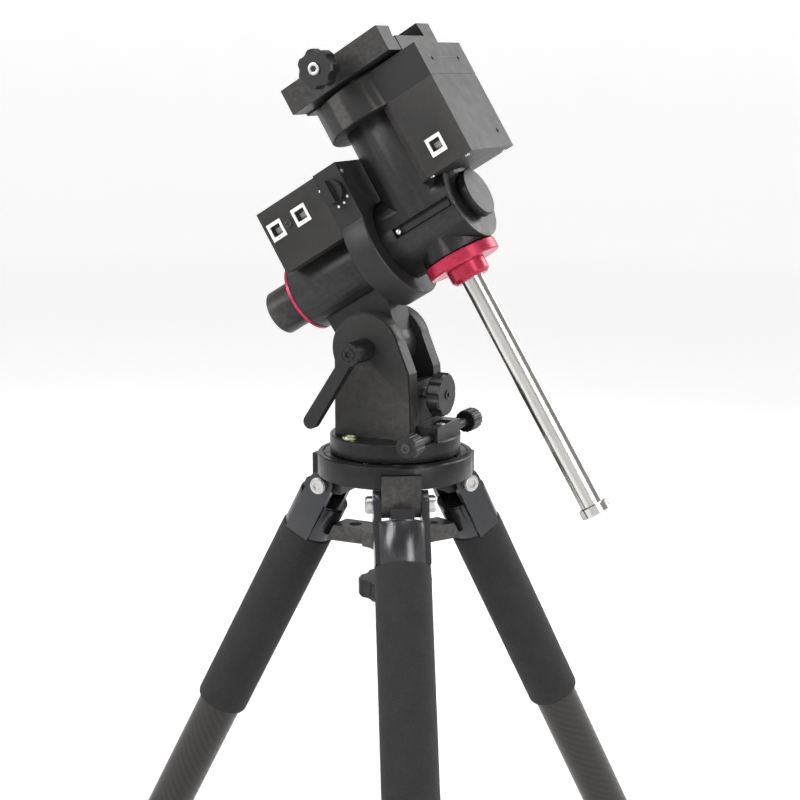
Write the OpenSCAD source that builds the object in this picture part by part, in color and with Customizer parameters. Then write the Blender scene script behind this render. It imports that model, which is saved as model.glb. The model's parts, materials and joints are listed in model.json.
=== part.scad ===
// German equatorial star-tracking mount on a carbon-fibre tripod.
// Millimetres, +Z up, +X towards the pole, origin on the floor in the middle of the footprint.

/* [Pose] */
// Latitude that the polar axis is set to
latitude = 31; // [24:1:40]
// Angle of each leg from the vertical
leg_spread = 28; // [26:1:28]

/* [Tripod] */
// Radius of the round tripod plate
plate_r = 68.5; // [68:0.5:70]
// Thickness of the tripod plate
plate_t = 20; // [19:0.5:20]
// Distance from a leg hinge to the middle of its ball foot, legs pushed in
leg_length = 589; // [589:1:640]
// Outer radius of the upper leg tube
tube_r = 20; // [19.5:0.5:20]
// Outer radius of the foam grip
grip_r = 24.3; // [23:0.1:24.3]
// Length of the foam grip
grip_l = 206; // [120:2:300]
// Outer radius of the lower leg tube
lower_r = 17.5; // [17:0.1:17.5]

/* [Mount base] */
// Radius of the round mount base
base_r = 57.5; // [56:0.5:60]
// Height of the round mount base
base_h = 17; // [16:0.5:18]
// Radius of the fork cheeks about the altitude axle
cheek_r = 32; // [30:0.5:33]
// Half width of the gap between the fork cheeks
fork_gap = 17; // [17:0.5:18]

/* [Polar axis] */
// Radius of the polar axis tube
ra_tube_r = 32.5; // [32:0.5:33]
// Radius of the round part of both gear housings
gear_r = 52; // [50:0.5:53]
// Half width of both gear housings and motor covers
block_w = 45; // [44:0.5:45]

/* [Declination axis] */
// Radius of the declination tube
dec_tube_r = 38; // [37.5:0.5:39]
// Radius of the hub that faces the polar gear housing
hub_r = 37; // [36:0.5:37]
// Radius of the counterweight shaft
shaft_r = 10; // [9:0.5:10]
// Distance from the axes' crossing to the end of the counterweight shaft
shaft_end = 286; // [240:1:300]

/* [Saddle] */
// Half length of the dovetail saddle
saddle_l = 53; // [48:1:56]
// Distance from the declination axis to the moving jaw's outer face
jaw_out = 53; // [50:1:54]
// Distance from the declination axis to the fixed jaw's edge
fixed_jaw = 26; // [22:1:28]

/* [Hidden] */
$fn = 64;
run_gap = 0.05;
part_gap = 0.3;
through = 1;

leg_angles = [180, 60, -60];
pivot_r = 63;
pivot_z = -33;
foot_r = 16;
foot_flat = 1.5;
foot_reach = pivot_r + leg_length * sin(leg_spread);
plate_z = -pivot_z + leg_length * cos(leg_spread) + foot_r - foot_flat;

// Altitude axle, from the azimuth axis on the plate
alt_x = -13;
alt_z = 94;
// The altitude axle in the polar frame, measured from the crossing of the two axes
alt_ra_x = -105.9;
alt_ra_z = -70.2;
cross_x = alt_x - alt_ra_x * cos(latitude) + alt_ra_z * sin(latitude);
cross_z = alt_z - alt_ra_x * sin(latitude) - alt_ra_z * cos(latitude);

cap_r = 13;
cap_h = 9;
front_x = cross_x + shaft_end * sin(latitude) + cap_r * cos(latitude);
back_x = foot_reach + foot_r;
// Puts the middle of the bounding box over the origin
axis_x = (back_x - front_x) / 2;

rod_r = 6;
peg_x = 44;
peg_r = 4.5;
peg_top = 28;
az_screw_z = 20;
az_screw_r = 4;
az_knob_out = 70;
az_knob_l = 17.5;
boss_x = 31.3;
boss_l = 20.7;
boss_w = 24;
boss_top = 29;

level_x = -22;
level_y = -44.5;
level_r = 5.5;
fork_back = -43;
fork_front = 31;

alt_screw_z = 54;
alt_screw_r = 5;
alt_screw_slack = 3;
alt_knob_x = 38;
alt_knob_r = 19;
axle_r = 6;
lever_out = -64;
lever_l = 74;
lever_angle = 57;

supporter_top = -72;
supporter_t = 14;
knob_top = -116;

gear_back = -66.8;
gear_front = -42.3;
block_top = 78.4;
tube_back = -145.5;
trim_t = 2.5;
ra_bore = 27;
ra_shaft_r = 22;
polar_bore = 17;
hub_front = 33;
clutch_x = -55.8;
clutch_z = 57.4;
cover_back = -133;
cover_low = 20;
cover_top = 77.3;
socket_x = [-121.4, -93.7];
jack_x = -108.6;
socket_z = 56;

dec_low = 95.2;
dec_top = 125;
dec_block_x = 72;
dec_bore = 30;
dec_shaft_r = 14;
neck_r = 31;
neck_low = -36;
ring_top = -hub_r - part_gap;
ring_low = -48;
collar_low = -61;
dec_cover_low = 24.5;
dec_socket_x = 47;
dec_socket_z = 44;

saddle_low = 125.4;
saddle_plate = 128;
channel_z = 143;
jaw_top = 155.5;
clamp_top = 152.5;
channel_near = -28;
saddle_far = 51;
undercut = 3.3;
saddle_knob_z = 143;
saddle_knob_r = 16.5;

// ---------- frames ----------

// Origin on the azimuth axis at the top of the tripod plate
module head() {
    translate([axis_x, 0, plate_z]) children();
}

// X along the polar axis towards the pole, Z along the declination axis towards the saddle
module polar() {
    head() translate([cross_x, 0, cross_z]) rotate([0, -latitude, 0]) children();
}

// Origin on a leg's hinge, the leg running down -Z, +X facing outwards
module leg(i) {
    head() rotate([0, 0, leg_angles[i - 1]]) translate([pivot_r, 0, pivot_z])
        rotate([0, -leg_spread, 0]) children();
}

// ---------- shared shapes ----------

// Cylinder along X from a to b
module rod_x(a, b, r) {
    translate([a, 0, 0]) rotate([0, 90, 0]) cylinder(r = r, h = b - a);
}

// Cylinder along Y from a to b
module rod_y(a, b, r) {
    translate([0, a, 0]) rotate([-90, 0, 0]) cylinder(r = r, h = b - a);
}

// Cylinder along Z from a to b
module rod_z(a, b, r) {
    translate([0, 0, a]) cylinder(r = r, h = b - a);
}

// Ring along Z
module ring_z(a, b, outer, inner) {
    difference() {
        rod_z(a, b, outer);
        rod_z(a - through, b + through, inner);
    }
}

// Disc along Z with both edges chamfered
module soft_disc(a, b, r, c) {
    rotate_extrude()
        polygon([[0, a], [r - c, a], [r, a + c], [r, b - c], [r - c, b], [0, b]]);
}

// Solid along Z with n round scallops cut from its rim
module scalloped(a, b, r, c, n, cut_r, depth) {
    difference() {
        soft_disc(a, b, r, c);
        for (k = [0 : n - 1])
            rotate([0, 0, k * 360 / n]) translate([r + cut_r - depth, 0, a - through])
                cylinder(r = cut_r, h = b - a + 2 * through);
    }
}

// Round-and-square outline of a gear housing along Z: a disc with a block to +X
module gear_body(a, b, block_x) {
    soft_disc(a, b, gear_r, 1);
    translate([0, -block_w, a]) cube([block_x, 2 * block_w, b - a]);
}

// ---------- tripod head ----------

module annular_pocket(outer, inner, depth, bar, boss_turns) {
    difference() {
        ring_z(-depth, through, outer, inner);
        translate([-plate_r, -bar / 2, -depth - through]) cube([2 * plate_r, bar, depth + 3]);
        translate([-bar / 2, -plate_r, -depth - through]) cube([bar, 2 * plate_r, depth + 3]);
        for (t = boss_turns)
            rotate([0, 0, t]) translate([39, 0, -depth - through]) cylinder(r = 6, h = depth + 3);
    }
}

module kidney() {
    inner = 19.5;
    outer = 33.4;
    mid = (inner + outer) / 2;
    half = 35;
    end_r = 7.4;
    reach = 60;
    intersection() {
        ring_z(-plate_t - through, through, outer, inner);
        translate([0, 0, -plate_t - 2]) linear_extrude(height = plate_t + 4)
            polygon([[0, 0], [reach * cos(half), -reach * sin(half)], [reach, 0],
                [reach * cos(half), reach * sin(half)]]);
    }
    for (s = [-1, 1])
        rotate([0, 0, s * half]) translate([mid, 0, 0])
            rod_z(-plate_t - through, through, end_r);
}

module tripod_plate() {
    lug_w = 17;
    lug_in = 46;
    lug_out = 74;
    lug_low = -42;
    lug_top = -6;
    groove_r = 64.2;
    head() color([0.1, 0.1, 0.105]) difference() {
        union() {
            soft_disc(-plate_t, 0, plate_r, 1);
            for (a = leg_angles)
                rotate([0, 0, a]) translate([lug_in, -lug_w, lug_low])
                    cube([lug_out - lug_in, 2 * lug_w, lug_top - lug_low]);
        }
        ring_z(-1.2, through, groove_r, groove_r - 1.3);
        annular_pocket(56.4, 50.9, 1.2, 12.5, []);
        annular_pocket(47.4, 42.4, 1.2, 12.5, [-60, 120]);
        for (a = [0, 120, 240]) rotate([0, 0, a]) kidney();
        rod_z(-plate_t - through, through, rod_r + run_gap);
        rod_z(-3, through, 8.3);
        for (x = [peg_x, 56.3, -44.2, -56.3]) translate([x, 0, 0]) rod_z(-16, through, 3.4);
        for (y = [46.3, 58, -46.3, -58]) translate([0, y, 0]) rod_z(-16, through, 3.4);
        rotate([0, 0, 120]) translate([39, 0, 0]) rod_z(-plate_t - through, through, 3.4);
        rotate([0, 0, -60]) translate([39, 0, 0]) rod_z(-14, through, 3.4);
        for (a = leg_angles)
            rotate([0, 0, a]) translate([pivot_r, 0, pivot_z]) rod_y(-20, 20, 4);
    }
}

module center_rod() {
    low = -205;
    top = 20;
    head() color("silver") rotate_extrude()
        polygon([[0, low], [rod_r - 1, low], [rod_r, low + 1], [rod_r, -3], [8, -3], [8, -0.4],
            [rod_r, -0.4], [rod_r, top - 1.5], [rod_r - 1.5, top], [0, top]]);
}

module rod_knob() {
    head() color([0.09, 0.09, 0.09]) difference() {
        union() {
            scalloped(-plate_t - 18, -plate_t - 4, 20, 1, 6, 8, 2);
            rod_z(-plate_t - 5, -plate_t, 11);
        }
        rod_z(-plate_t - 19, -plate_t + through, rod_r);
    }
}

module alignment_peg() {
    head() color("silver") translate([peg_x, 0, 0]) rotate_extrude()
        polygon([[0, -15.5], [3.4, -15.5], [3.4, 0], [peg_r, 0], [peg_r, peg_top - 0.8],
            [peg_r - 0.8, peg_top], [0, peg_top]]);
}

module hinge_bolts() {
    head() color("silver") for (a = leg_angles)
        rotate([0, 0, a]) translate([pivot_r, 0, pivot_z]) {
            rod_y(-27, 27, 4);
            rod_y(-28.5, -24.2, 7.5);
            rod_y(24.2, 28.5, 7.5);
        }
}

module supporter() {
    arm_w = 13;
    low = supporter_top - supporter_t;
    head() color([0.09, 0.09, 0.09]) difference() {
        intersection() {
            union() {
                rod_z(low, supporter_top, 30);
                for (a = leg_angles)
                    rotate([0, 0, a]) translate([0, -arm_w, low]) cube([80, 2 * arm_w, supporter_t]);
            }
            translate([0, 0, low]) cylinder(r1 = 64.4, r2 = 57, h = supporter_t);
        }
        rod_z(low - through, supporter_top + through, rod_r + run_gap);
        for (a = leg_angles)
            rotate([0, 0, a]) translate([40, 0, 0]) rod_z(low - through, supporter_top + through, 6);
        for (a = leg_angles)
            rotate([0, 0, a + 60]) translate([50, 0, 0])
                rod_z(low - through, supporter_top + through, 24);
    }
}

module supporter_knob() {
    low = knob_top - 16;
    head() color([0.08, 0.08, 0.08]) difference() {
        union() {
            scalloped(low, knob_top, 33, 2, 6, 14, 5);
            rod_z(knob_top - through, supporter_top - supporter_t, 9);
        }
        rod_z(low - through, supporter_top, rod_r + run_gap);
    }
}

// ---------- legs ----------

module leg_clevis(i) {
    cheek_in = 17.3;
    cheek_out = 23.6;
    ear_r = 12;
    collar_r = 23;
    leg(i) color([0.13, 0.13, 0.135]) difference() {
        union() {
            rod_z(-54, -18, collar_r);
            for (s = [-1, 1]) {
                rod_y(s > 0 ? cheek_in : -cheek_out, s > 0 ? cheek_out : -cheek_in, ear_r);
                translate([-ear_r, s > 0 ? cheek_in : -cheek_out, -54])
                    cube([2 * ear_r, cheek_out - cheek_in, 54]);
            }
            translate([10.5, -10, -20]) cube([9, 20, 11.5]);
        }
        rod_z(-55, -24, tube_r);
        rod_y(-30, 30, 4 + run_gap);
        difference() {
            rod_z(-20, -19, 30);
            rod_z(-21, -18, 22);
            for (s = [-1, 1])
                translate([-14, s > 0 ? 17 : -24, -21]) cube([28, 7, 4]);
        }
    }
}

module leg_tube(i) {
    leg(i) color([0.2, 0.2, 0.2]) ring_z(-500, -24, tube_r, tube_r - 2);
}

module leg_grip(i) {
    top = -54;
    low = top - grip_l;
    round_r = 4;
    leg(i) color([0.18, 0.18, 0.19]) rotate_extrude()
        polygon([[tube_r, low], [grip_r - round_r, low], [grip_r - 1.2, low + 1.2],
            [grip_r, low + round_r], [grip_r, top - 1], [grip_r - 1, top], [tube_r, top]]);
}

module leg_lock(i) {
    top = -480;
    low = -540;
    leg(i) color([0.08, 0.08, 0.08]) difference() {
        union() {
            soft_disc(low, top, 22.6, 1.5);
            scalloped(low + 6, top - 6, 23.5, 0.6, 18, 2.4, 0.8);
        }
        rod_z(-500.1, top + through, tube_r + run_gap);
        rod_z(low - through, -500, lower_r + run_gap);
    }
}

module lower_tube(i) {
    leg(i) color([0.2, 0.2, 0.2]) ring_z(-575, -75, lower_r, lower_r - 1.8);
}

module leg_foot(i) {
    cut = 100;
    color([0.06, 0.06, 0.06]) difference() {
        leg(i) difference() {
            union() {
                translate([0, 0, -leg_length]) sphere(r = foot_r);
                rod_z(-leg_length, -575, foot_r - 1);
                rod_z(-580, -556, 19.5);
                rod_z(-583, -579, 18);
            }
            rod_z(-575, -550, lower_r);
        }
        translate([-1000, -1000, -cut]) cube([2000, 2000, cut]);
    }
}

// ---------- base and fork ----------

module base_disc() {
    head() color([0.08, 0.08, 0.085]) difference() {
        union() {
            soft_disc(part_gap, base_h, base_r, 1.2);
            translate([boss_x, -boss_w, base_h - 2]) cube([boss_l, 2 * boss_w, boss_top - base_h + 2]);
        }
        rod_z(-through, base_h + through, rod_r + run_gap);
        translate([peg_x - 6, -12, -through]) cube([12, 24, 40]);
        translate([peg_x, 0, az_screw_z]) rod_y(-base_r, base_r, az_screw_r + run_gap);
        translate([level_x, level_y, 0]) rod_z(base_h - 4, base_h + through, level_r);
    }
}

// Side outline of a fork cheek, drawn in by an inset
module cheek_profile(inset) {
    translate([alt_x, alt_z]) circle(r = cheek_r - inset);
    polygon([[fork_back + inset, base_h], [fork_back + inset, alt_z], [alt_x, alt_z],
        [17.4 - inset, 103.6], [28.9 - inset, 75], [30.5 - inset, 47], [fork_front - inset, base_h]]);
}

module cheek(near, far, inset) {
    translate([0, far, 0]) rotate([90, 0, 0]) linear_extrude(height = far - near)
        cheek_profile(inset);
}

module yoke() {
    cheek_t = 16;
    outer = fork_gap + cheek_t;
    step = 1.2;
    head() color([0.12, 0.12, 0.125]) difference() {
        union() {
            cheek(fork_gap, outer - step, 0);
            cheek(outer - step - through, outer, step);
            cheek(-outer + step, -fork_gap, 0);
            cheek(-outer, -outer + step + through, step);
            translate([fork_back, -outer + step, base_h])
                cube([fork_front - fork_back, 2 * (outer - step), 13]);
            translate([20, -fork_gap - through, base_h]) cube([9, 2 * fork_gap + 2, 49]);
            translate([fork_back, -fork_gap - through, base_h]) cube([8, 2 * fork_gap + 2, 23]);
        }
        translate([alt_x, 0, alt_z]) rod_y(-50, 50, axle_r);
        translate([0, 0, alt_screw_z]) rod_x(0, 40, alt_screw_r + run_gap);
        rod_z(0, base_h + 5, 9);
    }
}

module bubble_level() {
    head() color([0.75, 0.9, 0.4]) translate([level_x, level_y, base_h - 4]) {
        rod_z(0, 5, level_r);
        rod_z(5, 5.6, 4.3);
    }
}

// Azimuth screw with its knurled knob, on the -Y or +Y side
module az_screw(side) {
    head() color([0.15, 0.15, 0.15]) translate([peg_x, 0, az_screw_z])
        rotate([side > 0 ? -90 : 90, 0, 0]) {
            rod_z(peg_r + part_gap, az_knob_out - az_knob_l, az_screw_r);
            scalloped(az_knob_out - az_knob_l, az_knob_out, 10, 1.2, 16, 1.5, 0.6);
        }
}

module az_screw_west() {
    az_screw(1);
}

module az_screw_east() {
    az_screw(-1);
}

module alt_axle() {
    head() color("silver") translate([alt_x, 0, alt_z]) {
        rod_y(lever_out + 4, 34, axle_r);
        rod_y(33.2, 37, 10);
    }
}

module alt_lever() {
    head() color([0.1, 0.1, 0.1]) translate([alt_x, 0, alt_z]) difference() {
        union() {
            rod_y(lever_out, -33.4, 10);
            rotate([0, 180 - lever_angle, 0]) hull() {
                translate([6, 0, 0]) rod_y(lever_out + 3, lever_out + 14, 5.5, $fn = 32);
                translate([lever_l, 0, 0]) rod_y(lever_out + 5, lever_out + 13, 6.4, $fn = 32);
            }
        }
        rod_y(lever_out - through, -30, axle_r + run_gap);
    }
}

module alt_screw() {
    tip = alt_x + alt_screw_slack + alt_screw_r;
    head() color("silver") translate([0, 0, alt_screw_z]) {
        rod_x(tip, alt_knob_x, alt_screw_r);
        translate([tip, 0, 0]) sphere(r = alt_screw_r);
    }
}

module alt_knob() {
    head() color([0.12, 0.12, 0.12]) translate([alt_knob_x, 0, alt_screw_z])
        rotate([0, 90, 0]) {
            scalloped(0, 12, alt_knob_r, 1.5, 8, 6, 2);
        }
}

// ---------- polar axis ----------

module ra_housing() {
    lug_w = 16.7;
    nose_d = 48;
    nose_t = 10;
    hang_angle = 31;
    polar() color([0.1, 0.1, 0.105]) difference() {
        union() {
            rod_x(tube_back, gear_back, ra_tube_r);
            translate([0, lug_w, 0]) rotate([90, 0, 0]) linear_extrude(height = 2 * lug_w)
                polygon([[-134, -27], [alt_ra_x - 25.7, alt_ra_z], [alt_ra_x + 25.7, alt_ra_z],
                    [-68, -27]]);
            translate([alt_ra_x, 0, alt_ra_z]) rod_y(-lug_w, lug_w, 26);
            translate([alt_ra_x, 0, alt_ra_z]) rotate([0, hang_angle, 0])
                translate([-nose_t, -8, -nose_d]) cube([nose_t, 16, nose_d - 10]);
        }
        rod_x(tube_back - through, gear_back + through, ra_bore);
        translate([alt_ra_x, 0, alt_ra_z]) rod_y(-20, 20, axle_r + run_gap);
    }
}

module ra_gear_housing() {
    polar() color([0.12, 0.12, 0.125]) difference() {
        rotate([0, -90, 0]) gear_body(-gear_front, -gear_back, block_top);
        rod_x(gear_back - through, gear_front + through, 24);
        rod_x(gear_back + 3, gear_front - 3, 45);
        translate([clutch_x, 0, clutch_z]) rod_y(-block_w - through, -20, 4);
    }
}

module ra_motor_cover() {
    wall = 2.5;
    length = gear_back - cover_back;
    polar() color([0.14, 0.14, 0.145]) difference() {
        translate([cover_back, -block_w, cover_low]) cube([length, 2 * block_w, cover_top - cover_low]);
        translate([cover_back + wall, wall - block_w, cover_low + wall])
            cube([length, 2 * (block_w - wall), cover_top - cover_low - 2 * wall]);
        rod_x(cover_back - through, gear_back + through, ra_tube_r + 0.1);
        for (x = socket_x)
            translate([x - 6, -block_w - through, socket_z - 6]) cube([12, 5, 12]);
        translate([jack_x, -block_w, socket_z]) rod_y(-through, 5, 3.5);
    }
}

// Square data socket in a face at y = 0, looking out along -Y
module data_socket() {
    difference() {
        translate([-7.5, -0.8, -8]) cube([15, 0.8, 16]);
        translate([-5.2, -2, -4.5]) cube([10.4, 5, 9.5]);
        translate([-2.5, -2, -6.5]) cube([5, 5, 3]);
    }
    difference() {
        translate([-6, 0, -6]) cube([12, 10, 12]);
        translate([-5.2, -2, -4.5]) cube([10.4, 9, 9.5]);
    }
}

module ra_ports() {
    polar() color([0.85, 0.85, 0.83]) {
        for (x = socket_x) translate([x, -block_w, socket_z]) data_socket();
        translate([jack_x, -block_w, socket_z]) difference() {
            rod_y(-0.8, 8, 3.5);
            rod_y(-2, 6, 2.2);
        }
    }
}

module ra_trim_ring() {
    polar() color([0.85, 0.1, 0.22]) difference() {
        rod_x(tube_back - trim_t, tube_back, ra_tube_r + 0.3);
        rod_x(tube_back - trim_t - through, tube_back + through, ra_bore);
    }
}

module polar_scope() {
    back = -182;
    polar() color([0.1, 0.1, 0.1]) rotate([0, 90, 0]) rotate_extrude()
        polygon([[0, back + 4], [13, back + 4], [14, back], [19.3, back], [20.5, back + 1.2],
            [20.5, tube_back - 8], [19.5, tube_back - 7.5], [19.5, tube_back - 6],
            [20.5, tube_back - 5.5], [20.5, tube_back - trim_t], [ra_bore, tube_back - trim_t],
            [ra_bore, tube_back + 2], [14, tube_back + 2], [14, -100], [0, -100]]);
}

module clutch_knob() {
    polar() color([0.07, 0.07, 0.07]) translate([clutch_x, 0, clutch_z]) {
        rod_y(-block_w - 5, -block_w - part_gap, 10.5);
        rod_y(-block_w - part_gap - through, -26, 3.9);
        translate([-2.5, -block_w - 11, -10]) cube([5, 7, 20]);
    }
}

module ra_bearings() {
    polar() color("silver") for (x = [-139, -84])
        difference() {
            rod_x(x, x + 12, ra_bore);
            rod_x(x - through, x + 13, ra_shaft_r + run_gap);
        }
}

// ---------- declination axis ----------

module dec_housing() {
    polar() color([0.1, 0.1, 0.105]) difference() {
        union() {
            rod_x(gear_front + part_gap, hub_front, hub_r);
            rod_z(0, dec_low, dec_tube_r);
            rod_z(neck_low, 0, neck_r);
        }
        rod_x(gear_front - through, hub_front + through, polar_bore);
        rod_x(hub_front, dec_tube_r + through, 21.5 + part_gap);
        rod_z(45, dec_low + through, dec_bore);
        rod_z(neck_low - through, -21, shaft_r);
        translate([-28, -hub_r - 5, -4]) cube([59, 10, 9]);
    }
}

module dec_gear_housing() {
    polar() color([0.12, 0.12, 0.125]) difference() {
        gear_body(dec_low, dec_top, dec_block_x);
        rod_z(dec_low - through, dec_top + through, 24);
        rod_z(dec_low + 3, dec_top - 3, gear_r - 7);
        for (y = [-26, 26])
            translate([dec_block_x, y, 110]) rod_x(-6, through, 1.8);
    }
}

module dec_cover_profile(inset) {
    left = 16 + inset;
    right = dec_block_x - inset;
    side = block_w - inset;
    cut = 10;
    polygon([[left + cut, -side], [right, -side], [right, side], [left + cut, side],
        [left, side - cut], [left, cut - side]]);
}

module dec_motor_cover() {
    wall = 2.5;
    polar() color([0.14, 0.14, 0.145]) difference() {
        translate([0, 0, dec_cover_low]) linear_extrude(height = dec_low - dec_cover_low)
            dec_cover_profile(0);
        translate([0, 0, dec_cover_low + wall])
            linear_extrude(height = dec_low - dec_cover_low - 2 * wall) dec_cover_profile(wall);
        rod_z(0, dec_low + through, dec_tube_r + 0.1);
        rod_x(0, hub_front + 1, hub_r + 0.1);
        translate([dec_socket_x - 6, -block_w - through, dec_socket_z - 6]) cube([12, 5, 12]);
        translate([dec_block_x, 28, 40]) rod_x(-6, through, 1.8);
    }
}

module dec_port() {
    polar() color([0.85, 0.85, 0.83]) translate([dec_socket_x, -block_w, dec_socket_z])
        data_socket();
}

module front_cap() {
    polar() color([0.2, 0.2, 0.21]) rotate([0, 90, 0]) rotate_extrude()
        polygon([[0, hub_front], [20, hub_front], [20, 37], [21.5, 37], [21.5, 42.3], [20.7, 43],
            [0, 43]]);
}

module cw_lock_ring() {
    polar() color([0.85, 0.08, 0.25]) difference() {
        soft_disc(ring_low, ring_top, 32.5, 1);
        rod_z(ring_low - through, ring_top + through, shaft_r + run_gap);
    }
}

module cw_collar() {
    polar() color([0.7, 0.06, 0.18]) difference() {
        rotate_extrude() polygon([[0, collar_low], [14.5, collar_low], [17.5, collar_low + 3],
            [17.5, ring_low - part_gap], [0, ring_low - part_gap]]);
        rod_z(collar_low - through, ring_low, shaft_r);
    }
}

module cw_shaft() {
    polar() color("silver") rod_z(-shaft_end + cap_h, -21, shaft_r);
}

module cw_end_cap() {
    polar() color("silver") soft_disc(-shaft_end, -shaft_end + cap_h, cap_r, 1);
}

module ra_shaft() {
    polar() color("silver") difference() {
        rod_x(-141, gear_front + part_gap, ra_shaft_r);
        rod_x(-142, gear_front + through, polar_bore);
    }
}

module ra_wheel() {
    polar() color([0.75, 0.62, 0.35]) rotate([0, 90, 0]) difference() {
        scalloped(-62, -48, 43, 0.5, 48, 1.6, 1);
        rod_z(-63, -47, ra_shaft_r);
    }
}

module dec_bearings() {
    polar() color("silver") for (z = [50, 83])
        ring_z(z, z + 11, dec_bore, dec_shaft_r + run_gap);
}

module slot_lever() {
    polar() color([0.08, 0.08, 0.08]) {
        translate([-26, -34.5, -2.5]) cube([55, 2.5, 5]);
        translate([-23, 0, 0]) rod_y(-38, -34, 2.4);
    }
}

// ---------- saddle ----------

// Extrudes an outline drawn in Y and Z along the saddle's length
module along_saddle(half) {
    translate([-half, 0, 0]) rotate([90, 0, 90]) linear_extrude(height = 2 * half) children();
}

module saddle_base() {
    polar() color([0.12, 0.12, 0.125]) difference() {
        union() {
            rod_z(saddle_low, saddle_plate + through, 40);
            along_saddle(saddle_l) polygon([[channel_near, saddle_plate], [saddle_far, saddle_plate],
                [saddle_far, jaw_top], [fixed_jaw, jaw_top], [fixed_jaw + undercut, channel_z],
                [channel_near, channel_z]]);
        }
        for (x = [-saddle_l + 12, saddle_l - 12])
            translate([x, 12, 0]) rod_z(channel_z - 6, channel_z + through, 3.5);
    }
}

module clamp_jaw() {
    inner = channel_near - 0.5;
    low = saddle_plate + through + part_gap;
    polar() color([0.13, 0.13, 0.135]) along_saddle(saddle_l - 0.5)
        polygon([[-jaw_out, low], [inner, low], [inner, channel_z - 1],
            [inner - 2.5, channel_z], [inner, clamp_top], [-jaw_out, clamp_top]]);
}

module saddle_knob() {
    polar() translate([0, 0, saddle_knob_z]) rotate([90, 0, 0]) {
        color([0.1, 0.1, 0.1]) scalloped(70, 84.2, saddle_knob_r, 1.5, 7, 7, 2.6);
        color("silver") rod_z(jaw_out + part_gap, 70, 4);
        color("silver") rod_z(84.2, 85, 5);
    }
}

module dec_shaft() {
    polar() color("silver") rod_z(46, saddle_low, dec_shaft_r);
}

module dec_wheel() {
    polar() color([0.75, 0.62, 0.35]) difference() {
        scalloped(103, 117, 43, 0.5, 48, 1.6, 1);
        rod_z(102, 118, dec_shaft_r);
    }
}

tripod_plate();
center_rod();
rod_knob();
alignment_peg();
hinge_bolts();
supporter();
supporter_knob();
leg_clevis(1);  // leg_clevis_1
leg_clevis(2);  // leg_clevis_2
leg_clevis(3);  // leg_clevis_3
leg_tube(1);  // leg_tube_1
leg_tube(2);  // leg_tube_2
leg_tube(3);  // leg_tube_3
leg_grip(1);  // leg_grip_1
leg_grip(2);  // leg_grip_2
leg_grip(3);  // leg_grip_3
leg_lock(1);  // leg_lock_1
leg_lock(2);  // leg_lock_2
leg_lock(3);  // leg_lock_3
lower_tube(1);  // lower_tube_1
lower_tube(2);  // lower_tube_2
lower_tube(3);  // lower_tube_3
leg_foot(1);  // leg_foot_1
leg_foot(2);  // leg_foot_2
leg_foot(3);  // leg_foot_3
base_disc();
yoke();
bubble_level();
az_screw_west();
az_screw_east();
alt_axle();
alt_lever();
alt_screw();
alt_knob();
ra_housing();
ra_gear_housing();
ra_motor_cover();
ra_ports();
ra_trim_ring();
polar_scope();
clutch_knob();
ra_bearings();
dec_housing();
dec_gear_housing();
dec_motor_cover();
dec_port();
front_cap();
cw_lock_ring();
cw_collar();
cw_shaft();
cw_end_cap();
ra_shaft();
ra_wheel();
dec_bearings();
slot_lever();
saddle_base();
clamp_jaw();
saddle_knob();
dec_shaft();
dec_wheel();
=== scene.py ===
"""Looks for the equatorial star-tracking mount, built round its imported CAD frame."""
import json
import math

import bmesh
import bpy
from mathutils import Matrix, Vector, noise


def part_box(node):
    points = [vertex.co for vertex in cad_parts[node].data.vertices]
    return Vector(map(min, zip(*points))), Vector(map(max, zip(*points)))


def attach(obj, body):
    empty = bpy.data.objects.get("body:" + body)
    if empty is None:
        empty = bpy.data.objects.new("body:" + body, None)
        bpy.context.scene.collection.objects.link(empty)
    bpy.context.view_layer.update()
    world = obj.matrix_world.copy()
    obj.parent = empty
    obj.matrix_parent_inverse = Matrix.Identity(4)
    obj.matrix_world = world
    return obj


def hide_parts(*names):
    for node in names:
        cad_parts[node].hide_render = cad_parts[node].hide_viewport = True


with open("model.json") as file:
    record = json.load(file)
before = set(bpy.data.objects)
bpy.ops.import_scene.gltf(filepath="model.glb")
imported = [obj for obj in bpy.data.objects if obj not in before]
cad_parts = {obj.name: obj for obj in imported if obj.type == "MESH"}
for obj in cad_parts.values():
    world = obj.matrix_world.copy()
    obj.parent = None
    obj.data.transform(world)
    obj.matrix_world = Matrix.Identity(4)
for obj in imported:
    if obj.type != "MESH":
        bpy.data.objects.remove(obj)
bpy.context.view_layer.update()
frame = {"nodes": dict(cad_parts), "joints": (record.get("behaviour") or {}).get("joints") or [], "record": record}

MM = 0.001
JOINTS = {j["name"]: j for j in frame["joints"]}
LEGS = (1, 2, 3)


# ---------- frames taken from the joints ----------

def axes_at(origin, x_axis, z_axis):
    """Matrix of a right-handed frame with the given X and Z directions."""
    z = Vector(z_axis).normalized()
    y = z.cross(Vector(x_axis)).normalized()
    x = y.cross(z)
    place = Matrix((x, y, z)).transposed().to_4x4()
    place.translation = Vector(origin)
    return place


def leg_frame(i):
    """Frame on a leg's hinge: the leg runs down -Z and +X faces outwards."""
    up = -Vector(JOINTS[f"leg_extend_{i}"]["axis"])
    side = Vector(JOINTS[f"leg_fold_{i}"]["axis"])
    return axes_at(JOINTS[f"leg_fold_{i}"]["pos_m"], side.cross(up), up)


HEAD = Matrix.Translation(JOINTS["azimuth"]["pos_m"])
POLAR = axes_at(JOINTS["ra_axis"]["pos_m"], JOINTS["ra_axis"]["axis"], JOINTS["dec_axis"]["axis"])
ALTITUDE = Matrix.Translation(JOINTS["altitude"]["pos_m"])
OUT_SIDE = Matrix.Rotation(math.radians(90), 4, "X")       # local +Z points along -Y
OUT_NORTH = Matrix.Rotation(math.radians(90), 4, "Y")      # local +Z points along +X


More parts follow.
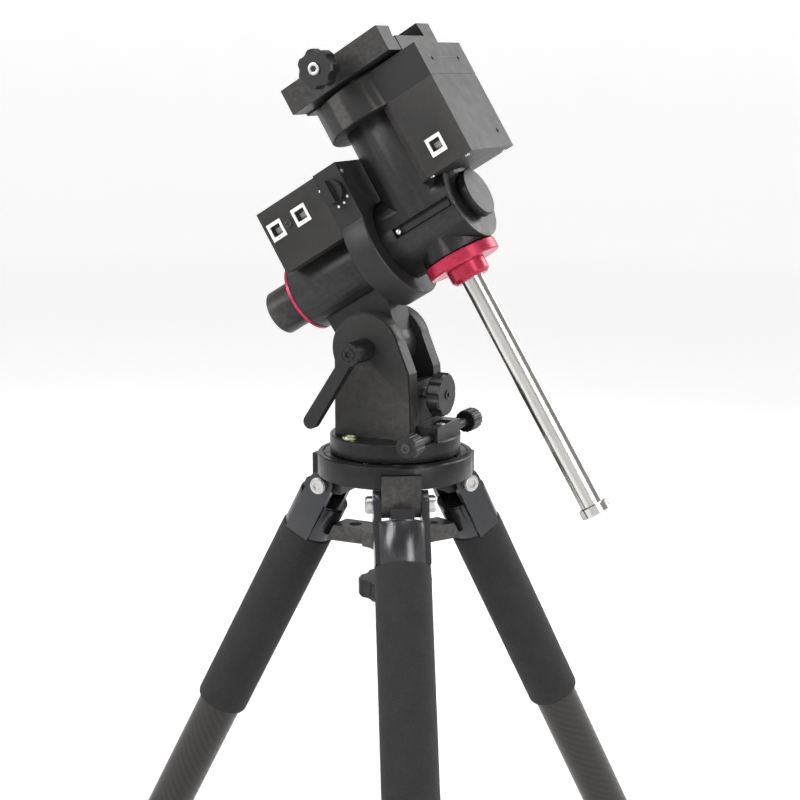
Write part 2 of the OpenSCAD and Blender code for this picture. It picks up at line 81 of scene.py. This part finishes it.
def at(x, y, z):
    """Shift in millimetres."""
    return Matrix.Translation((x * MM, y * MM, z * MM))


# ---------- material building ----------

def node(tree, kind, inputs=None, **settings):
    made = tree.nodes.new(kind)
    for key, value in settings.items():
        setattr(made, key, value)
    for key, value in (inputs or {}).items():
        if isinstance(value, bpy.types.NodeSocket):
            tree.links.new(value, made.inputs[key])
        else:
            made.inputs[key].default_value = value
    return made


def calc(tree, operation, a, b=0.0):
    return node(tree, "ShaderNodeMath", {0: a, 1: b}, operation=operation).outputs[0]


def remap(tree, value, low, high, new_low, new_high):
    inputs = {"Value": value, "From Min": low, "From Max": high, "To Min": new_low, "To Max": new_high}
    return node(tree, "ShaderNodeMapRange", inputs).outputs[0]


def mix_colour(tree, factor, a, b):
    return node(tree, "ShaderNodeMix", {0: factor, 6: (*a, 1), 7: (*b, 1)}, data_type="RGBA").outputs[2]


def local_coords(tree, place=None, stretch=(1, 1, 1)):
    """Object coordinates in metres, turned into the frame place and then stretched."""
    coords = node(tree, "ShaderNodeTexCoord").outputs["Object"]
    if place is not None:
        inverse = place.inverted()
        coords = node(tree, "ShaderNodeMapping", {"Vector": coords, "Location": inverse.translation,
                                                  "Rotation": inverse.to_euler()}).outputs[0]
    if stretch != (1, 1, 1):
        coords = node(tree, "ShaderNodeMapping", {"Vector": coords, "Scale": stretch}).outputs[0]
    return coords


def grain_noise(tree, coords, scale, detail=3.0):
    return node(tree, "ShaderNodeTexNoise", {"Vector": coords, "Scale": scale, "Detail": detail}).outputs[0]


def new_material(name):
    made = bpy.data.materials.new(name)
    made.use_nodes = True
    return made, made.node_tree, made.node_tree.nodes["Principled BSDF"]


def scaled(colour, k):
    return tuple(min(1.0, c * k) for c in colour)


def surface(name, colour, metallic, rough, grain, depth, mottle=0.1, wear=None, place=None,
            stretch=(1, 1, 1), coat=0.0, specular=0.5):
    """A finish with cloudy colour, uneven roughness, a fine bump, and paler rubbed edges."""
    made, tree, shader = new_material(name)
    coords = local_coords(tree, place, stretch)
    plain = local_coords(tree)
    cloud = remap(tree, grain_noise(tree, plain, 35.0), 0.3, 0.7, 0.0, 1.0)
    tone = mix_colour(tree, cloud, scaled(colour, 1 - mottle), scaled(colour, 1 + mottle))
    if wear is not None:
        pointed = node(tree, "ShaderNodeNewGeometry").outputs["Pointiness"]
        edge = remap(tree, pointed, 0.52, 0.62, 0.0, 1.0)
        patchy = calc(tree, "MULTIPLY", edge, grain_noise(tree, plain, 260.0))
        tone = node(tree, "ShaderNodeMix", {0: patchy, 6: tone, 7: (*wear, 1)}, data_type="RGBA").outputs[2]
    fine = grain_noise(tree, coords, grain)
    smudge = grain_noise(tree, plain, 90.0, 5.0)
    both = calc(tree, "ADD", calc(tree, "MULTIPLY", fine, 0.5), calc(tree, "MULTIPLY", smudge, 0.5))
    tree.links.new(tone, shader.inputs["Base Color"])
    tree.links.new(remap(tree, both, 0.3, 0.7, rough[0], rough[1]), shader.inputs["Roughness"])
    bump = node(tree, "ShaderNodeBump", {"Height": fine, "Distance": depth, "Strength": 1.0})
    tree.links.new(bump.outputs[0], shader.inputs["Normal"])
    shader.inputs["Metallic"].default_value = metallic
    shader.inputs["Coat Weight"].default_value = coat
    shader.inputs["Specular IOR Level"].default_value = specular
    return made


def carbon_weave(i, radius):
    """Clear-coated twill wrapped round a leg tube: strands pass over two and under two, with painted shade across
    each strand.
    """
    strands = 56
    cell = 2 * math.pi * radius / strands
    made, tree, shader = new_material(f"carbon_{i}")
    split = node(tree, "ShaderNodeSeparateXYZ", {0: local_coords(tree, leg_frame(i))})
    angle = calc(tree, "ARCTAN2", split.outputs[1], split.outputs[0])
    across = calc(tree, "MULTIPLY", angle, strands / (2 * math.pi))
    along = calc(tree, "DIVIDE", split.outputs[2], cell)
    step = calc(tree, "ADD", calc(tree, "FLOOR", across), calc(tree, "FLOOR", along))
    over = calc(tree, "LESS_THAN", calc(tree, "FLOORED_MODULO", step, 4.0), 2.0)
    crown_a = calc(tree, "SINE", calc(tree, "MULTIPLY", calc(tree, "FRACT", across), math.pi))
    crown_b = calc(tree, "SINE", calc(tree, "MULTIPLY", calc(tree, "FRACT", along), math.pi))
    crown = node(tree, "ShaderNodeMix", {0: over, 2: crown_a, 3: crown_b}).outputs[0]
    # Painted shade: each strand is darkened towards its edges, as light falls off its round crown, and strands
    # running one way are painted darker than the other in place of their different sheen.
    shade = calc(tree, "MULTIPLY", remap(tree, over, 0, 1, 0.45, 1.0), remap(tree, crown, 0, 1, 0.5, 1))
    tree.links.new(mix_colour(tree, shade, (0.007, 0.0062, 0.0054), (0.026, 0.0225, 0.019)),
                   shader.inputs["Base Color"])
    tree.links.new(remap(tree, over, 0, 1, 0.34, 0.48), shader.inputs["Roughness"])
    bump = node(tree, "ShaderNodeBump", {"Height": crown, "Distance": 0.00005, "Strength": 0.5})
    tree.links.new(bump.outputs[0], shader.inputs["Normal"])
    shader.inputs["Coat Weight"].default_value = 0.2
    shader.inputs["Coat Roughness"].default_value = 0.3
    shader.inputs["Specular IOR Level"].default_value = 0.25
    return made


def foam_material():
    """Closed-cell foam: open speckle of small cells with painted shade in their pits, dull, with a soft sheen."""
    made, tree, shader = new_material("foam")
    coords = local_coords(tree)
    cells = node(tree, "ShaderNodeTexVoronoi", {"Vector": coords, "Scale": 900.0}).outputs["Distance"]
    cloud = grain_noise(tree, coords, 60.0, 6.0)
    # Painted shade: each cell is darker towards its centre, where the bump sinks it into a pit; the cloud noise
    # adds random darker patches of tone.
    tone = calc(tree, "MULTIPLY", remap(tree, cells, 0, 0.7, 0.6, 1), remap(tree, cloud, 0.3, 0.7, 0.75, 1))
    tree.links.new(mix_colour(tree, tone, (0.006, 0.0058, 0.0058), (0.024, 0.0232, 0.0232)),
                   shader.inputs["Base Color"])
    tree.links.new(remap(tree, cells, 0, 0.7, 0.95, 0.8), shader.inputs["Roughness"])
    bump = node(tree, "ShaderNodeBump", {"Height": cells, "Distance": 0.00025, "Strength": 0.8})
    tree.links.new(bump.outputs[0], shader.inputs["Normal"])
    shader.inputs["Sheen Weight"].default_value = 0.05
    shader.inputs["Specular IOR Level"].default_value = 0.2
    return made


WEAR = (0.1, 0.095, 0.09)
MATERIALS = {
    "black_anodised": surface("black_anodised", (0.008, 0.0078, 0.0084), 0.2, (0.3, 0.46), 1500, 0.00003,
                              wear=WEAR, specular=0.3),
    "turned_black": surface("turned_black", (0.008, 0.0078, 0.0084), 0.25, (0.26, 0.42), 700, 0.00003,
                            wear=WEAR, place=HEAD, stretch=(0.15, 0.15, 1), specular=0.3),
    "fork_coat": surface("fork_coat", (0.011, 0.0104, 0.0102), 0.0, (0.38, 0.54), 1900, 0.00005, wear=WEAR,
                         specular=0.3),
    "cover_coat": surface("cover_coat", (0.014, 0.013, 0.0126), 0.0, (0.38, 0.55), 1900, 0.00006, wear=WEAR,
                          specular=0.3),
    "red_anodised": surface("red_anodised", (0.3, 0.002, 0.026), 0.45, (0.22, 0.38), 1100, 0.00002,
                            mottle=0.08, wear=(0.55, 0.05, 0.11), place=POLAR, stretch=(0.2, 0.2, 1)),
    "stainless": surface("stainless", (0.56, 0.545, 0.52), 1.0, (0.14, 0.27), 1800, 0.000012, mottle=0.06,
                         place=POLAR, stretch=(0.05, 0.05, 1)),
    "bolt_steel": surface("bolt_steel", (0.5, 0.49, 0.48), 1.0, (0.22, 0.4), 1400, 0.00002, mottle=0.1),
    "leg_metal": surface("leg_metal", (0.05, 0.051, 0.056), 0.75, (0.16, 0.3), 1300, 0.00002, wear=WEAR,
                         specular=0.35),
    "black_plastic": surface("black_plastic", (0.007, 0.007, 0.0074), 0.0, (0.34, 0.52), 1700, 0.00007,
                             specular=0.35),
    "rubber": surface("rubber", (0.01, 0.01, 0.0104), 0.0, (0.65, 0.85), 900, 0.00015, specular=0.3),
    "white_plastic": surface("white_plastic", (0.66, 0.65, 0.62), 0.0, (0.25, 0.4), 1200, 0.00002,
                             mottle=0.04),
    # Near-black: on the socket inserts it is painted shade inside the sockets, on the jack bezel the collar's own
    # dark colour.
    "dark_plastic_and_shade": surface("dark_plastic_and_shade", (0.012, 0.012, 0.012), 0.0, (0.45, 0.6), 1500, 0.00003),
    "brass": surface("brass", (0.75, 0.55, 0.24), 1.0, (0.22, 0.36), 1200, 0.00002, mottle=0.1),
    "vial": surface("vial", (0.6, 0.85, 0.18), 0.0, (0.06, 0.14), 700, 0.00001, mottle=0.08, coat=1.0),
    "foam": foam_material(),
}


# ---------- CAD nodes: finishes and broken edges ----------

SLOTS = {s["node"]: s["material_slot"] for s in frame["record"]["subparts"]}
FINISH_BY_SLOT = {"level_vial": "vial"}
TURNED = {"tripod_plate", "base_disc"}
SMALL_STEEL = {"hinge_bolts", "alt_axle", "alt_screw", "alignment_peg"}
KNOBS_ON_SCREWS = {"az_screw_west", "az_screw_east"}


def finish_of(name):
    if name in TURNED:
        return MATERIALS["turned_black"]
    if name in KNOBS_ON_SCREWS:
        return MATERIALS["black_plastic"]
    if name in SMALL_STEEL:
        return MATERIALS["bolt_steel"]
    slot = SLOTS[name]
    if slot == "carbon":
        return CARBON[int(name[-1])]
    return MATERIALS[FINISH_BY_SLOT.get(slot, slot)]


CARBON = {i: carbon_weave(i, 20 * MM) for i in LEGS}
for name, piece in frame["nodes"].items():
    piece.data.materials.clear()
    piece.data.materials.append(finish_of(name))

EDGE_WIDTHS = {
    "saddle_base": 0.8, "clamp_jaw": 0.8, "ra_gear_housing": 1.0, "dec_gear_housing": 1.0,
    "ra_motor_cover": 1.0, "dec_motor_cover": 1.0, "yoke": 0.8, "tripod_plate": 0.5, "base_disc": 0.5,
    "dec_housing": 0.6, "ra_housing": 0.6, "supporter": 0.8, "front_cap": 0.4, "slot_lever": 0.3,
    "leg_clevis_1": 0.5, "leg_clevis_2": 0.5, "leg_clevis_3": 0.5, "clutch_knob": 0.6, "alt_lever": 0.5,
}
for name, width in EDGE_WIDTHS.items():
    piece = frame["nodes"][name]
    weld = piece.modifiers.new("weld", "WELD")
    weld.merge_threshold = 0.00001
    bevel = piece.modifiers.new("broken_edges", "BEVEL")
    bevel.width = width * MM
    bevel.segments = 2
    bevel.limit_method = "ANGLE"
    bevel.angle_limit = math.radians(40)
    bevel.use_clamp_overlap = True
    bevel.harden_normals = True


# ---------- pieces made here ----------

def add_piece(name, mesh_data, body, finish, place):
    bmesh.ops.recalc_face_normals(mesh_data, faces=mesh_data.faces)
    data = bpy.data.meshes.new(name)
    mesh_data.to_mesh(data)
    mesh_data.free()
    data.transform(place)
    for face in data.polygons:
        face.use_smooth = True
    data.set_sharp_from_angle(angle=math.radians(35))
    piece = bpy.data.objects.new(name, data)
    bpy.context.scene.collection.objects.link(piece)
    data.materials.append(finish)
    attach(piece, body)
    return piece


def hex_radius(across_flats, angle):
    """Distance from a hexagon's centre to its edge, in the direction angle."""
    turn = (angle + math.pi / 6) % (math.pi / 3) - math.pi / 6
    return across_flats / 2 / math.cos(turn)


def lathe(rings, segments, radius_at):
    """Closed skin through rings of points: radius_at(ring, angle) gives (radius, height)."""
    made = bmesh.new()
    rows = []
    for ring in rings:
        row = []
        for k in range(segments):
            angle = 2 * math.pi * k / segments
            r, z = radius_at(ring, angle)
            row.append(made.verts.new((r * math.cos(angle), r * math.sin(angle), z)))
        rows.append(row)
    for low, high in zip(rows, rows[1:]):
        for k in range(segments):
            n = (k + 1) % segments
            made.faces.new((low[k], low[n], high[n], high[k]))
    return made, rows


def cap_ends(made, rows):
    """Close a lathed skin with a flat face at each end."""
    made.faces.new(rows[0][::-1])
    made.faces.new(rows[-1])


def join_ends(made, rows):
    """Close a lathed skin into a ring, from its last row of points to its first."""
    count = len(rows[0])
    for k in range(count):
        n = (k + 1) % count
        made.faces.new((rows[-1][k], rows[-1][n], rows[0][n], rows[0][k]))


def turned(rings, segments):
    """Closed skin of a plain turned piece: rings are (radius, height) in millimetres."""
    return lathe(rings, segments, lambda ring, angle: (ring[0] * MM, ring[1] * MM))


def cap_screw(name, body, place, radius=3.0, height=2.0, finish="bolt_steel"):
    """Socket-head screw standing on local z = 0, in millimetres, with a hexagon recess."""
    flats = radius * 0.95
    profile = [(radius, 0), (radius, height - 0.4), (radius - 0.12, height - 0.12),
               (radius - 0.4, height), (flats * 0.68, height)]
    recess = [(flats, height - 0.15), (flats, height * 0.35)]

    def radius_at(ring, angle):
        kind, r, z = ring
        return ((hex_radius(r, angle) if kind == "hex" else r) * MM, z * MM)

    rings = [("round", r, z) for r, z in profile] + [("hex", r, z) for r, z in recess]
    made, rows = lathe(rings, 48, radius_at)
    cap_ends(made, rows)
    return add_piece(name, made, body, MATERIALS[finish], place)


def threaded_rod(name, body, place, low, high, radius, pitch, top_chamfer=1.5):
    """Rod along local Z with a real helical thread, in millimetres."""
    per_turn = 6
    count = int((high - low) / pitch * per_turn)
    depth = 0.45 * pitch

    def radius_at(k, angle):
        z = low + (high - low) * k / count
        phase = (z / pitch - angle / (2 * math.pi)) % 1.0
        cut = depth * abs(2 * phase - 1)
        ends = min(1.0, (high - z) / top_chamfer, (z - low) / top_chamfer)
        return ((radius - max(cut, (1 - ends) * top_chamfer * 0.8)) * MM, z * MM)

    made, rows = lathe(range(count + 1), 32, radius_at)
    cap_ends(made, rows)
    return add_piece(name, made, body, MATERIALS["bolt_steel"], place)


def foam_grip(i):
    """Foam sleeve on an upper leg tube, with soft rolled ends and a slightly uneven skin."""
    bore, outer, top, length = 20.0, 24.2, -54.0, 206.0
    low = top - length
    roll = 4.0
    profile = [(bore, low)]
    for k in range(9):
        a = math.radians(90 * k / 8)
        profile.append((outer - roll + roll * math.sin(a), low + roll - roll * math.cos(a)))
    steps = 70
    profile += [(outer, low + roll + (length - 2 * roll) * k / steps) for k in range(1, steps)]
    for k in range(9):
        a = math.radians(90 * k / 8)
        profile.append((outer - 1.6 + 1.6 * math.cos(a), top - 1.6 + 1.6 * math.sin(a)))
    profile.append((bore, top))

    def radius_at(ring, angle):
        r, z = ring
        spot = Vector((math.cos(angle) * 3, math.sin(angle) * 3, z / 9 + 20 * i))
        dent = 0.28 * (0.5 + 0.5 * noise.noise(spot)) if r > bore + 1 else 0.0
        return ((r - dent) * MM, z * MM)

    made, rows = lathe(profile, 96, radius_at)
    join_ends(made, rows)
    piece = add_piece(f"foam_grip_{i}", made, f"leg_{i}", MATERIALS["foam"], leg_frame(i))
    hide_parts(f"leg_grip_{i}")


def socket_insert(name, body, place):
    """Throat of a data socket with a row of spring contacts, opening along local +Z, all near-black as painted
    shade inside the socket.
    """
    made = bmesh.new()

    def block(x, y, z, width, height, depth):
        box = Matrix.Translation((x * MM, y * MM, z * MM)) @ Matrix.Diagonal(
            (width * MM, height * MM, depth * MM, 1))
        bmesh.ops.create_cube(made, size=1.0, matrix=box)

    block(0, 0.25, -8.5, 10.2, 9.3, 1.6)
    block(0, 3.9, -5.5, 10.2, 1.6, 5.0)
    for x in (-4.95, 4.95):
        block(x, 0.25, -4.3, 0.35, 9.3, 7.6)
    for y in (-4.25, 4.75):
        block(0, y, -4.3, 10.2, 0.35, 7.6)
    for k in range(6):
        block(-3.75 + 1.5 * k, -2.2, -6.0, 0.5, 0.5, 4.0)
    bmesh.ops.bevel(made, geom=made.edges, offset=0.12 * MM, segments=2, affect="EDGES")
    return add_piece(name, made, body, MATERIALS["dark_plastic_and_shade"], place)


def index_dot(name, place, radius=1.15):
    """Small domed white paint dot."""
    rings = [(radius, 0), (radius, 0.08), (radius * 0.8, 0.16), (radius * 0.4, 0.2)]
    made, rows = turned(rings, 24)
    cap_ends(made, rows)
    return add_piece(name, made, "polar_head", MATERIALS["white_plastic"], place)


for i in LEGS:
    foam_grip(i)

rod = threaded_rod("center_rod_thread", "tripod_head", HEAD, -205, 20, 6.0, 1.75)
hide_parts("center_rod")

# Places on the polar frame, in millimetres.
SIDE = -45.0            # near face of both gear housings and covers
CLUTCH = (-55.8, 57.4)
CLUTCH_DOTS = 13.2      # radius of the ring of dots round the clutch knob
DOT_ANGLES = (150, -45, -72, -100)
RA_SOCKETS = (-121.4, -93.7)
JACK = -108.6
RA_SOCKET_HEIGHT = 56.0
DEC_SOCKET = (47.0, 44.0)
COVER_SCREWS = ((64, 38), (64, -38), (28, 38), (28, -38))
COVER_UNDERSIDE = 24.7
for k, turn in enumerate(DOT_ANGLES):
    a = math.radians(turn)
    spot = at(CLUTCH[0] + CLUTCH_DOTS * math.cos(a), SIDE, CLUTCH[1] + CLUTCH_DOTS * math.sin(a))
    index_dot(f"clutch_dot_{k + 1}", POLAR @ spot @ OUT_SIDE)

for k, x in enumerate(RA_SOCKETS):
    socket_insert(f"ra_socket_insert_{k + 1}", "polar_head",
                  POLAR @ at(x, SIDE, RA_SOCKET_HEIGHT) @ OUT_SIDE)
socket_insert("dec_socket_insert", "dec_body", POLAR @ at(DEC_SOCKET[0], SIDE, DEC_SOCKET[1]) @ OUT_SIDE)

cap_screw("saddle_knob_screw", "saddle_knob", POLAR @ at(0, -84.4, 143) @ OUT_SIDE, 5.2, 1.4)
cap_screw("lever_screw", "alt_lever", ALTITUDE @ at(0, -62.4, 0) @ OUT_SIDE, 5.6, 2.0, "black_anodised")
cap_screw("alt_knob_screw", "alt_screw", HEAD @ at(49.6, 0, 54) @ OUT_NORTH, 4.2, 1.4, "black_plastic")
for side, out in (("east", -1), ("west", 1)):
    facing = OUT_SIDE if out < 0 else Matrix.Rotation(math.radians(-90), 4, "X")
    cap_screw(f"az_{side}_knob_screw", f"az_{side}", HEAD @ at(44, out * 69.6, 20) @ facing, 4.4, 1.3,
              "leg_metal")
DOWN = Matrix.Rotation(math.pi, 4, "X")
for k, (x, y) in enumerate(COVER_SCREWS):
    cap_screw(f"dec_cover_screw_{k + 1}", "dec_body", POLAR @ at(x, y, COVER_UNDERSIDE) @ DOWN, 2.2, 1.0)
for k, y in enumerate((-40, 40)):
    cap_screw(f"ra_face_screw_{k + 1}", "polar_head", POLAR @ at(-42.5, y, 70) @ OUT_NORTH, 2.2, 0.9)
for i in LEGS:
    for end, side, turn in (("in", -1, 90), ("out", 1, -90)):
        outwards = at(0, side * 28.3, 0) @ Matrix.Rotation(math.radians(turn), 4, "X")
        cap_screw(f"hinge_bolt_head_{i}_{end}", "tripod_head", leg_frame(i) @ outwards, 6.9, 1.6)


def lever_ball():
    """Steel detent ball at one end of the slotted lever."""
    radius = 2.8
    angles = [math.radians(a) for a in range(-20, 86, 15)]
    rings = [(radius * math.cos(a), radius * math.sin(a)) for a in angles]
    made, rows = turned(rings, 32)
    cap_ends(made, rows)
    add_piece("lever_ball", made, "dec_body", MATERIALS["bolt_steel"],
              POLAR @ at(-23, -37.8, 0.4) @ OUT_SIDE)


def jack_bezel():
    """Dark collar of the small round jack between the two data sockets."""
    rings = [(4.0, -0.2), (4.0, 0.9), (3.6, 1.25), (2.5, 1.25), (2.2, 0.9), (2.2, -5.0), (0.9, -5.0),
             (0.9, -1.0), (0.5, -0.6)]
    made, rows = turned(rings, 40)
    cap_ends(made, rows)
    add_piece("jack_bezel", made, "polar_head", MATERIALS["dark_plastic_and_shade"],
              POLAR @ at(JACK, SIDE, RA_SOCKET_HEIGHT) @ OUT_SIDE)


def level_rim():
    """Steel rim round the spirit level's vial."""
    low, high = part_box("bubble_level")
    middle = (low + high) / 2
    rings = [(5.5, 0), (6.3, 0), (6.3, 1.0), (6.0, 1.4), (5.0, 1.5), (4.6, 1.2), (4.6, 0.4)]
    made, rows = turned(rings, 48)
    join_ends(made, rows)
    place = Matrix.Translation((middle.x, middle.y, high.z - 0.8 * MM))
    add_piece("level_rim", made, "azimuth_base", MATERIALS["bolt_steel"], place)


jack_bezel()
lever_ball()
level_rim()


# ---------- stage, lights and camera ----------

def stage_floor():
    """Flat floor that curves up into a low round backdrop, so that no view shows a horizon."""
    flat, rise = 7.0, 4.0
    rings = [(flat + rise * math.sin(math.radians(a)), rise - rise * math.cos(math.radians(a)))
             for a in range(0, 86, 5)]
    made, rows = lathe(rings, 96, lambda ring, angle: ring)
    made.faces.new(rows[0][::-1])
    for face in made.faces:
        face.smooth = True
        if face.normal.z < 0:
            face.normal_flip()
    data = bpy.data.meshes.new("floor")
    made.to_mesh(data)
    made.free()
    floor = bpy.data.objects.new("floor", data)
    bpy.context.scene.collection.objects.link(floor)
    made_material, tree, shader = new_material("pale_floor")
    cloud = grain_noise(tree, local_coords(tree), 3.0)
    tone = mix_colour(tree, cloud, (0.84, 0.84, 0.84), (0.87, 0.87, 0.87))
    tree.links.new(tone, shader.inputs["Base Color"])
    shader.inputs["Roughness"].default_value = 0.7
    shader.inputs["Emission Color"].default_value = (1, 1, 1, 1)
    out = node(tree, "ShaderNodeVectorMath", {0: local_coords(tree)}, operation="LENGTH").outputs["Value"]
    tree.links.new(remap(tree, out, 0.6, 2.0, 0.05, 0.5), shader.inputs["Emission Strength"])
    data.materials.append(made_material)


def softbox(name, place, target, size, watts):
    light = bpy.data.lights.new(name, "AREA")
    light.shape = "RECTANGLE"
    light.size, light.size_y = size
    light.energy = watts
    lamp = bpy.data.objects.new(name, light)
    bpy.context.scene.collection.objects.link(lamp)
    lamp.location = place
    lamp.rotation_euler = (Vector(target) - Vector(place)).to_track_quat("-Z", "Y").to_euler()


def camera():
    """The photograph's view: 26 degrees round from the side, 1.5 m off and a little above the plate."""
    azimuth = math.radians(26)
    pitch = math.radians(11.12)
    turn = math.radians(0.16)
    away = 1.5
    above = 0.34
    head = HEAD.translation
    data = bpy.data.cameras.new("camera")
    data.sensor_width = 36.0
    data.lens = 78.3
    data.clip_end = 100.0
    made = bpy.data.objects.new("camera", data)
    bpy.context.scene.collection.objects.link(made)
    made.location = head + Vector((math.sin(azimuth) * away, -math.cos(azimuth) * away, above))
    made.rotation_euler = (math.radians(90) - pitch, 0, azimuth - turn)
    bpy.context.scene.camera = made


def studio_world():
    """White round the horizon and darker overhead, so that polished metal has something to reflect."""
    world = bpy.data.worlds.new("studio")
    bpy.context.scene.world = world
    world.use_nodes = True
    tree = world.node_tree
    up = node(tree, "ShaderNodeSeparateXYZ", {0: node(tree, "ShaderNodeTexCoord").outputs["Generated"]})
    glow = remap(tree, up.outputs[2], 0.1, 0.45, 1.06, 0.3)
    tree.links.new(glow, tree.nodes["Background"].inputs["Strength"])
    tree.nodes["Background"].inputs["Color"].default_value = (1, 1, 1, 1)


stage_floor()
middle = HEAD.translation + Vector((0.0, 0.0, 0.12))
softbox("key", middle + Vector((-1.3, -1.5, 1.2)), middle, (1.1, 1.4), 44)
softbox("fill", middle + Vector((1.9, -1.0, 0.5)), middle, (0.9, 1.6), 30)
softbox("top", middle + Vector((0.1, 0.2, 1.8)), middle, (1.6, 1.6), 24)
softbox("rim", middle + Vector((0.9, 1.6, 0.9)), middle, (0.8, 1.4), 22)
studio_world()
camera()
bpy.context.scene.view_settings.view_transform = "Standard"
